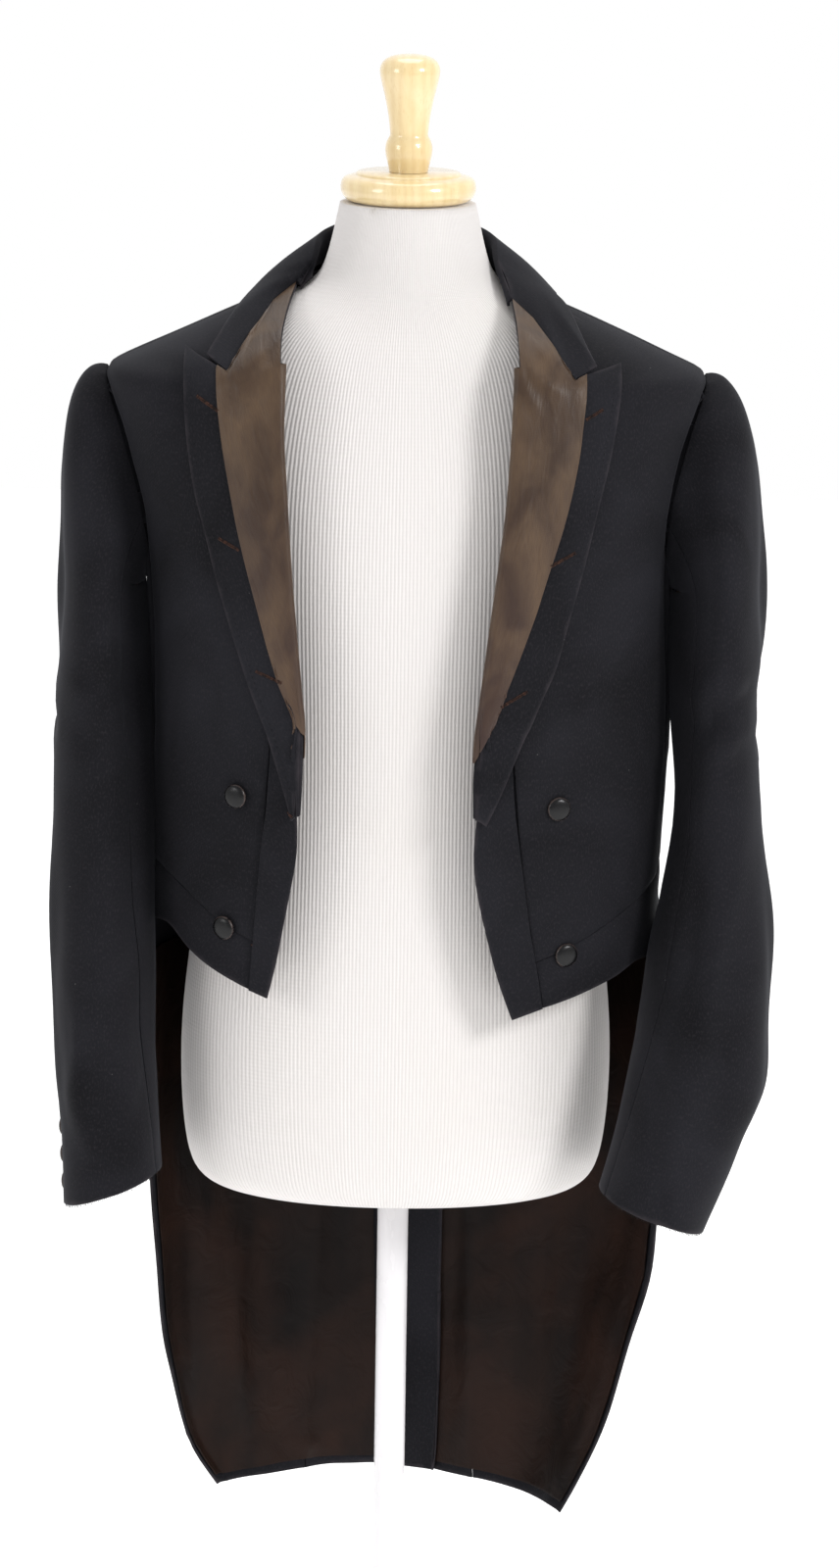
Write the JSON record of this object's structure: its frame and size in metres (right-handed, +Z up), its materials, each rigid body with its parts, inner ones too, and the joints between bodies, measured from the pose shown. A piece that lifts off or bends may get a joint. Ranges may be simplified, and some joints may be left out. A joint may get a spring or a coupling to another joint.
{
  "type": "tailcoat on a dress form",
  "caption": "White tie tailcoat with silk-faced peak lapels and long tails, worn open by a limbless dress form on a round stand.",
  "frame": {"origin": "centre of the round base's underside, on the floor under the pole", "axes": "+Z up along the pole, -Y toward the coat's front, +X toward the wearer's left"},
  "size_m": [0.5493, 0.3236, 1.5005],
  "materials": {
    "black_wool": "fine twilled barathea wool, matte with a little nap",
    "brown_silk": "worn brown-black silk facing with a soft sheen",
    "brown_lining": "smooth dark brown twill lining",
    "worn_satin": "cloth-covered buttons, rubbed at the rim",
    "pale_knit": "off-white fine ribbed jersey cover",
    "pale_maple": "clear varnished turned wood",
    "white_paint": "gloss white paint"
  },
  "bodies": {
    "root": {"forepart_left": "black_wool", "sidebody_left": "black_wool", "back_left": "black_wool", "skirt_left": "black_wool", "lapel_left": "black_wool", "topsleeve_left": "black_wool", "undersleeve_left": "black_wool", "silk_left": "brown_silk", "tail_lining_left": "brown_lining", "cuff_button_left_1": "worn_satin", "cuff_button_left_2": "worn_satin", "cuff_button_left_3": "worn_satin", "front_button_left_upper": "worn_satin", "front_button_left_lower": "worn_satin", "waist_button_left": "worn_satin", "forepart_right": "black_wool", "sidebody_right": "black_wool", "back_right": "black_wool", "skirt_right": "black_wool", "lapel_right": "black_wool", "topsleeve_right": "black_wool", "undersleeve_right": "black_wool", "silk_right": "brown_silk", "tail_lining_right": "brown_lining", "cuff_button_right_1": "worn_satin", "cuff_button_right_2": "worn_satin", "cuff_button_right_3": "worn_satin", "front_button_right_upper": "worn_satin", "front_button_right_lower": "worn_satin", "waist_button_right": "worn_satin", "collar": "black_wool", "form_torso": "pale_knit", "neck_cap": "pale_maple", "finial": "pale_maple", "pole": "white_paint", "base_hub": "white_paint", "base": "white_paint"}
  },
  "joints": []
}
